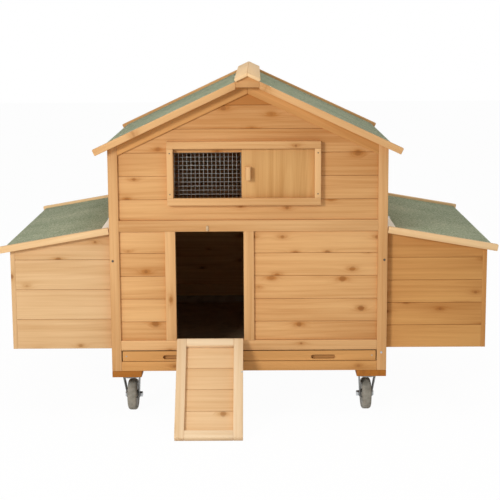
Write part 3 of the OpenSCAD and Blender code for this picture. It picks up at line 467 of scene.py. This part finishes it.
low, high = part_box("ramp_frame")
fold = joint_place("ramp_fold")
leaf_in, leaf_w, leaf_t, leaf_hole_off = 0.015, 0.06, 0.0015, 0.0155
leaf_holes, leaf_screw_r = (0.0099, 0.0501), 0.0034
leaf_x = (low.x + leaf_in, high.x - leaf_in - leaf_w)
drive("ramp_rail_screws", "house", zinc, leaf_screw_r,
      [((x + hole, front - leaf_t, fold.z - leaf_hole_off), forward) for x in leaf_x for hole in leaf_holes])
# The ramp's side is a slanted oblong, whose corners are found by how far they lie from the hinge.
ramp_mesh = frame["nodes"]["ramp_frame"].data
edge_on = sorted({(round(v.co.y, 6), round(v.co.z, 6)) for v in ramp_mesh.vertices if abs(v.co.x - low.x) < 1e-5},
                 key=lambda c: math.hypot(c[0] - fold.y, c[1] - fold.z))
under, over, foot = (Vector((0, *edge_on[i])) for i in (0, 1, 3))
run, up = (foot - over).normalized(), (over - under).normalized()
ramp_hole_run, stud_in, stud_run = 0.0125, 0.0031, 0.117
drive("ramp_leaf_screws", "ramp", zinc, leaf_screw_r,
      [(Vector((x + leaf_w / 2, 0, 0)) + under + run * ramp_hole_run - up * leaf_t, -up) for x in leaf_x])
drive("ramp_stud", "ramp", wire_zinc, 0.0028, [(Vector((high.x - stud_in, 0, 0)) + over + run * stud_run, up)])

# Droppings tray: a fir front board with two finger slots, nailed to a folded pan of galvanised sheet
# that runs on two fir runners. The board is painted paler to its left end as painted light, and its edges and its
# slots, apart from their sills, are darkened as painted shade in the gap round it and inside the slots.
low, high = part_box("tray_front")
tray_board = timber("tray_front", deep_fir, seed=70, edge=0.0007, shift=-1.3)
gap_shade, slot_shade, left_light = 5.6, 1.7, 3.0
# The faces round the board's edge get painted shade for the gap round the tray, and the faces inside the slots, except
# their sills, get painted shade for the slots.
for face, painted_shade in zip(tray_board.data.polygons, tray_board.data.attributes["joint_and_shade"].data):
    slot_sill = face.normal.z > 0.3 and face.center.z < high.z - 0.004
    if face.normal.y > -0.5 and not slot_sill:
        painted_shade.value = gap_shade
    elif face.center.y > low.y + 0.005:
        painted_shade.value = slot_shade
# The board grows paler towards its left end: painted light from the left.
for point, tone_and_light in zip(tray_board.data.vertices, tray_board.data.attributes["tone_and_light"].data):
    tone_and_light.value += left_light * min(point.co.x / high.x, 0.0)
timber("tray_runners", frame_fir, seed=71, edge=0.001)
pan_zinc = zinc_coat("pan_zinc", paint(150, 124, 92), rough=0.6, flake=45.0, bare=0.2)
dressed("tray_pan", "folded", edge=0.0005).data.materials.append(pan_zinc)
tray_nail_in, tray_nail_z = 0.012, (low.z + high.z) / 2
drive("tray_nails", "tray", wire_zinc, 0.0024,
      [((x, low.y, tray_nail_z), forward) for x in (low.x + tray_nail_in, high.x - tray_nail_in)])

# Perches: two planed fir rails with rubbed-down edges, for the hens to sit on.
# They lie between the mid rails of the side frames.
timber("perches", frame_fir, seed=75, edge=0.0012)

# Nest boxes: fir boards on corner posts, with a plywood floor and divider. The left box has broad, pale
# boards, and the right one narrow, darker boards.
left_fir = sawn_wood("left_nest_fir", paint(223, 184, 136), paint(186, 136, 80), knots=0.5, rings=55.0, wander=9.0)
right_fir = sawn_wood("right_nest_fir", paint(207, 152, 88), paint(164, 102, 44), knots=0.55, rings=60.0, wander=9.0)
timber("left_nest_walls", left_fir, seed=80, edge=board_edge)
timber("right_nest_walls", right_fir, seed=81, edge=board_edge)
timber("nest_floors", ply, seed=82, edge=sheet_edge)
timber("nest_dividers", ply, seed=83, edge=sheet_edge)

# Nest lids: plywood under felt, with a fir batten along the front and the rear edge and a very pale strip
# beside the house, which the hinges are screwed to. The battens stand above the felt and run past its outer end.
strip_fir = sawn_wood("strip_fir", paint(255, 245, 226), paint(244, 228, 204), knots=0.1, rings=70.0, wander=7.0)
strip_in, lid_leaf_in, lid_hole_run, lid_hole_drop = 0.025, 0.25, 0.0165, 0.0027
leaf_y = (front + lid_leaf_in, rear - lid_leaf_in - leaf_w)
timber("left_lid_board", ply, seed=85, edge=sheet_edge, shift=-0.6)
timber("right_lid_board", ply, seed=86, edge=sheet_edge, shift=-0.6)
for seed, (side, name) in enumerate(((-1, "left"), (1, "right"))):
    batten = timber(f"{name}_lid_battens", pale_fir, seed=87 + seed, edge=batten_edge, shift=-0.6)
    batten.data.materials.append(strip_fir)
    for face in batten.data.polygons:
        face.material_index = 1 if front + strip_in < face.center.y < rear - strip_in else 0
    # The lid falls along its battens' longest edge.
    ends = [[batten.data.vertices[v].co for v in edge.vertices] for edge in batten.data.edges]
    fall = max((b - a for a, b in ends if abs(b.y - a.y) < 0.001), key=lambda way: way.length).normalized()
    fall = fall if fall.z < 0 else -fall
    square = Vector((-fall.z * side, 0, abs(fall.x)))
    axis = joint_place(f"{name}_lid_lift")
    drive(f"{name}_wall_screws", "house", zinc, leaf_screw_r,
          [((side * (wall_x + leaf_t), y + hole, axis.z + leaf_hole_off), (side, 0, 0))
           for y in leaf_y for hole in leaf_holes])
    drive(f"{name}_lid_screws", f"{name}_lid", zinc, leaf_screw_r,
          [(Vector((axis.x, y + leaf_w / 2, axis.z)) + fall * lid_hole_run - square * lid_hole_drop, square)
           for y in leaf_y])

# Castors: a fir block under each corner, and a plated steel castor bolted to it with its top plate, race,
# swivel fork and axle bolt.
block_fir = sawn_wood("block_fir", paint(178, 112, 42), paint(134, 76, 24), knots=0.4, rings=60.0, wander=8.0)
timber("castor_blocks", block_fir, seed=90, edge=0.0012)
plated_edge, plate_t, plate_hole = 0.0006, 0.003, 0.0285
dressed("castor_plates", "plated", plated_edge).data.materials.append(zinc)
corners = ("front_left", "front_right", "rear_left", "rear_right")
plate_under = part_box("castor_plates")[1].z - plate_t
drive("castor_screws", "house", zinc, 0.0055,
      [((at.x + x, at.y + y, plate_under), (0, 0, -1)) for at in (joint_place(f"{c}_swivel") for c in corners)
       for x in (-plate_hole, plate_hole) for y in (-plate_hole, plate_hole)])
# The forks have a darker zinc than the plates and axles: painted shade for their legs, whose inner faces lie in
# shadow.
shaded_fork_zinc = zinc_coat("shaded_fork_zinc", paint(150, 150, 148), rough=0.32, flake=160.0)
for corner in corners:
    dressed(f"{corner}_fork", "plated", plated_edge).data.materials.append(shaded_fork_zinc)
    dressed(f"{corner}_axle", "plated", plated_edge).data.materials.append(zinc)


# Wheels: grey rubber tyres with a rounded tread on a dished hub of grey nylon, with a boss round the axle.
# One is turned up and copied to each castor.
def grey_rubber(name, pale, deep, rough):
    finish, shader, s = new_finish(name, Specular_IOR_Level=0.3)
    at = s.make("TexCoord", out="Object")
    dust = s.noise(at, size=60.0, detail=4.0)
    grain = s.noise(at, size=900.0)
    s.feed(shader, {"Base Color": s.blend((dust - 0.5) * 2.2 + 0.5, pale, deep),
                    "Roughness": rough + (dust - 0.5) * 0.4,
                    "Normal": s.bump(grain, strength=0.2, distance=0.0003)})
    return finish


tyre_grey = grey_rubber("tyre_grey", paint(164, 159, 146), paint(128, 123, 111), rough=0.62)
hub_grey = grey_rubber("hub_grey", paint(146, 143, 134), paint(120, 117, 109), rough=0.45)
tyre_r, tyre_w, hub_r = 0.05, 0.03, 0.0375
bpy.ops.object.select_all(action="DESELECT")
bpy.ops.mesh.primitive_cylinder_add(vertices=96, radius=tyre_r, depth=tyre_w, rotation=(0, math.pi / 2, 0))
bpy.ops.object.transform_apply(location=True, rotation=True, scale=True)
wheel = bpy.context.object
bpy.ops.object.mode_set(mode="EDIT")
bpy.ops.mesh.select_mode(type="EDGE")
bpy.ops.mesh.select_all(action="DESELECT")
bpy.ops.object.mode_set(mode="OBJECT")
for edge in wheel.data.edges:
    ends = [wheel.data.vertices[v].co for v in edge.vertices]
    edge.select = abs(ends[0].x - ends[1].x) < 1e-6
bpy.ops.object.mode_set(mode="EDIT")
bpy.ops.mesh.bevel(offset=0.009, segments=6, affect="EDGES")
bpy.ops.mesh.select_mode(type="FACE")
bpy.ops.mesh.select_all(action="DESELECT")
bpy.ops.object.mode_set(mode="OBJECT")
for face in wheel.data.polygons:
    face.select = abs(face.normal.x) > 0.99 and len(face.vertices) > 20
bpy.ops.object.mode_set(mode="EDIT")
tyre_wall, hub_step, dish = (0.003, 0.0), (0.0008, -0.0012), (0.019, -0.004)
dish_floor, boss_side, boss_face = (0.004, 0.0), (0.0008, 0.0066), (0.0078, 0.0)
for thickness, depth in (tyre_wall, hub_step, dish, dish_floor, boss_side, boss_face):
    bpy.ops.mesh.inset(thickness=thickness, depth=depth)
bpy.ops.mesh.bridge_edge_loops()
bpy.ops.object.mode_set(mode="OBJECT")
wheel.data.materials.append(tyre_grey)
wheel.data.materials.append(hub_grey)
for face in wheel.data.polygons:
    face.material_index = 1 if math.hypot(face.center.y, face.center.z) < hub_r else 0
bpy.ops.object.shade_smooth_by_angle(angle=math.radians(30))
for corner in corners:
    roll = next(j for j in frame["joints"] if j["name"] == f"{corner}_roll")
    tyre = wheel.copy()
    tyre.data = wheel.data.copy()
    tyre.name = f"{corner}_tyre"
    bpy.context.scene.collection.objects.link(tyre)
    turn = math.atan2(roll["axis"][1], roll["axis"][0])
    tyre.data.transform(Matrix.Translation(roll["pos_m"]) @ Matrix.Rotation(turn, 4, "Z"))
    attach(tyre, f"{corner}_roller")
    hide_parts(f"{corner}_wheel")
for spare in (wheel, screw_head):
    bpy.data.objects.remove(spare)


# Floor and light: a plain white sweep that keeps a soft shadow, a low lamp at the front left,
# a broad soft one overhead and an even white surround.
def looked_at(s):
    """1 where the camera sees the white itself or its reflection, and 0 where it only lights the house."""
    path = s.make("LightPath", out="Is Camera Ray")
    return s.sum("MAXIMUM", path, s.sum("MAXIMUM", path.other("Is Glossy Ray"), path.other("Is Transmission Ray")))


bpy.ops.object.select_all(action="DESELECT")
bpy.ops.mesh.primitive_plane_add(size=30)
floor = bpy.context.object
floor.name = "studio_floor"
white = bpy.data.materials.new("studio_white")
white.use_nodes = True
s = Shade(white.node_tree)
sheen = s.noise(s.make("TexCoord", out="Object"), size=3.0)
paper = s.make("BsdfDiffuse", {"Color": s.blend(sheen, (0.97, 0.97, 0.97, 1), (0.95, 0.95, 0.95, 1))})
glow = s.make("Emission", {"Color": (1, 1, 1, 1), "Strength": 1.0})
sweep = s.make("MixShader", {0: looked_at(s) * 0.97, 1: paper, 2: glow})
s.feed(white.node_tree.nodes["Material Output"], {"Surface": sweep})
floor.data.materials.append(white)

world = bpy.data.worlds.new("studio_surround")
bpy.context.scene.world = world
world.use_nodes = True
s = Shade(world.node_tree)
s.feed(world.node_tree.nodes["Background"], {"Color": (1, 1, 1, 1), "Strength": looked_at(s) * 0.62 + 0.38})

lit_point = Vector((0, 0, 0.5))
for name, spot, size, power in (("key_lamp", (-2.2, -4.0, 2.0), 0.9, 100.0),
                                ("top_lamp", (0.4, -0.8, 4.2), 3.0, 58.0)):
    lamp = bpy.data.objects.new(name, bpy.data.lights.new(name, "AREA"))
    lamp.data.size = size
    lamp.data.energy = power
    lamp.location = spot
    lamp.rotation_euler = (lit_point - Vector(spot)).to_track_quat("-Z", "Y").to_euler()
    bpy.context.scene.collection.objects.link(lamp)
bpy.context.scene.view_settings.view_transform = "Standard"

# Camera: at the photograph's place, about four metres in front of the house and a little above it,
# looking slightly down.
yaw, pitch_down, tilt = math.radians(0.27), math.radians(9.946), math.radians(0.34)
stand = Vector((0.0241, front - 4.0913, 1.2502))
flat_right = Vector((math.cos(yaw), math.sin(yaw), 0))
ahead = Vector((-math.sin(yaw) * math.cos(pitch_down), math.cos(yaw) * math.cos(pitch_down), -math.sin(pitch_down)))
flat_up = flat_right.cross(ahead)
right = math.cos(tilt) * flat_right - math.sin(tilt) * flat_up
up = math.sin(tilt) * flat_right + math.cos(tilt) * flat_up
camera = bpy.data.objects.new("camera", bpy.data.cameras.new("camera"))
camera.data.lens = 97.2
camera.data.sensor_width = 36.0
camera.matrix_world = Matrix.Translation(stand) @ Matrix((right, up, -ahead)).transposed().to_4x4()
bpy.context.scene.collection.objects.link(camera)
bpy.context.scene.camera = camera
